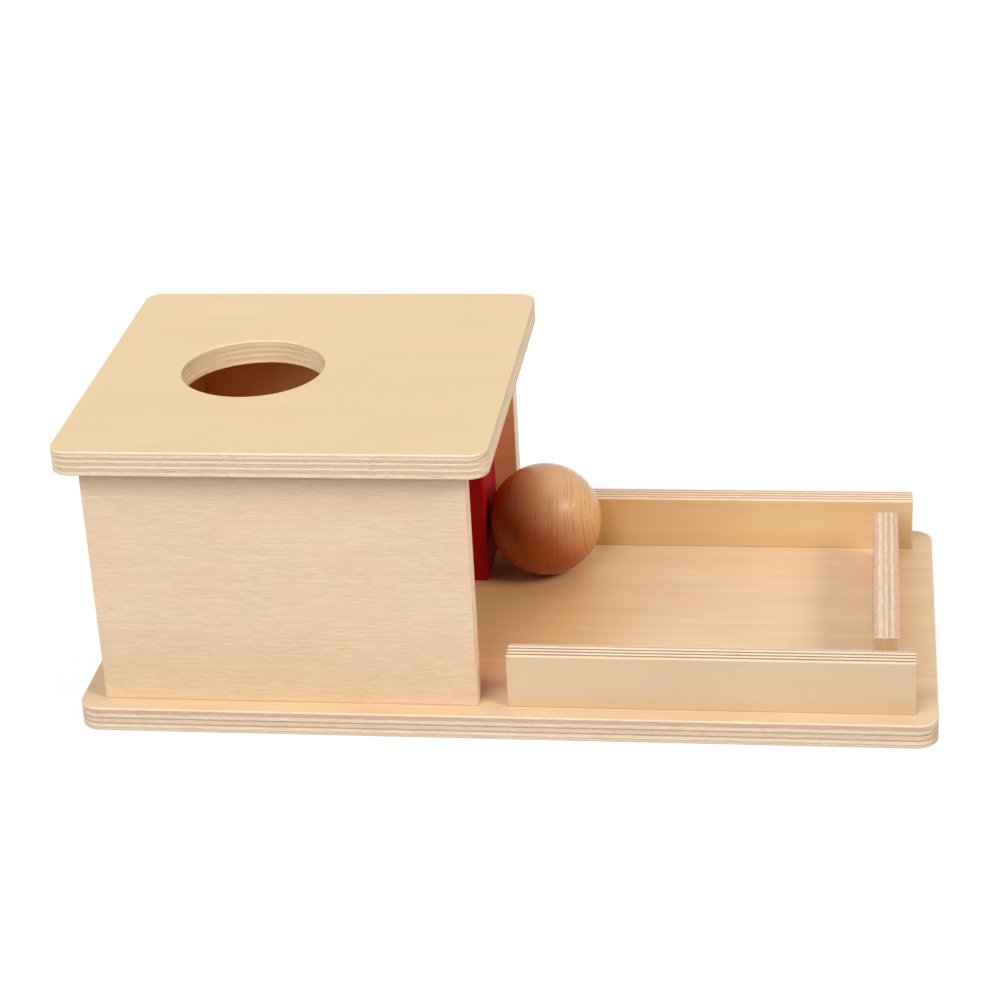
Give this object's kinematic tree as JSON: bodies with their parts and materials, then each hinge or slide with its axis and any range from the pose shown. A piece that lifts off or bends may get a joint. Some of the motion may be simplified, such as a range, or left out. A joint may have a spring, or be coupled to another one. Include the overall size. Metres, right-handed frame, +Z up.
{
  "type": "object permanence box",
  "caption": "Plywood box with a round posting hole in its lid, a hidden ramp and a red doorway, from which a wooden ball rolls into a low railed tray on the same base board.",
  "frame": {"origin": "middle of the base board's underside, which is the middle of the part's footprint", "axes": "+X from the box towards the tray's end stop, +Y to the back, +Z up"},
  "size_m": [0.315, 0.156, 0.113],
  "materials": {
    "base_plywood": "satin lacquer",
    "wall_plywood": "satin lacquer",
    "lid_plywood": "satin lacquer",
    "rail_plywood": "satin lacquer",
    "inner_plywood": "satin lacquer",
    "red_paint": "gloss paint",
    "ball_wood": "satin lacquer",
    "screw_steel": "zinc plated",
    "dowel_wood": "bare"
  },
  "bodies": {
    "box": {"base_board": "base_plywood", "front_wall": "wall_plywood", "back_wall": "wall_plywood", "end_wall": "wall_plywood", "doorway_panel": "red_paint", "lid": "lid_plywood", "ramp": "inner_plywood", "ramp_block": "inner_plywood", "front_rail": "rail_plywood", "back_rail": "rail_plywood", "end_stop": "rail_plywood", "base_screws": "screw_steel", "lid_dowels": "dowel_wood"},
    "ball": {"ball": "ball_wood"}
  },
  "joints": [
    {"name": "ball_roll", "type": "slide", "parent": "box", "child": "ball", "axis": [1, 0, 0], "range_m": [0, 0.1064]}
  ]
}
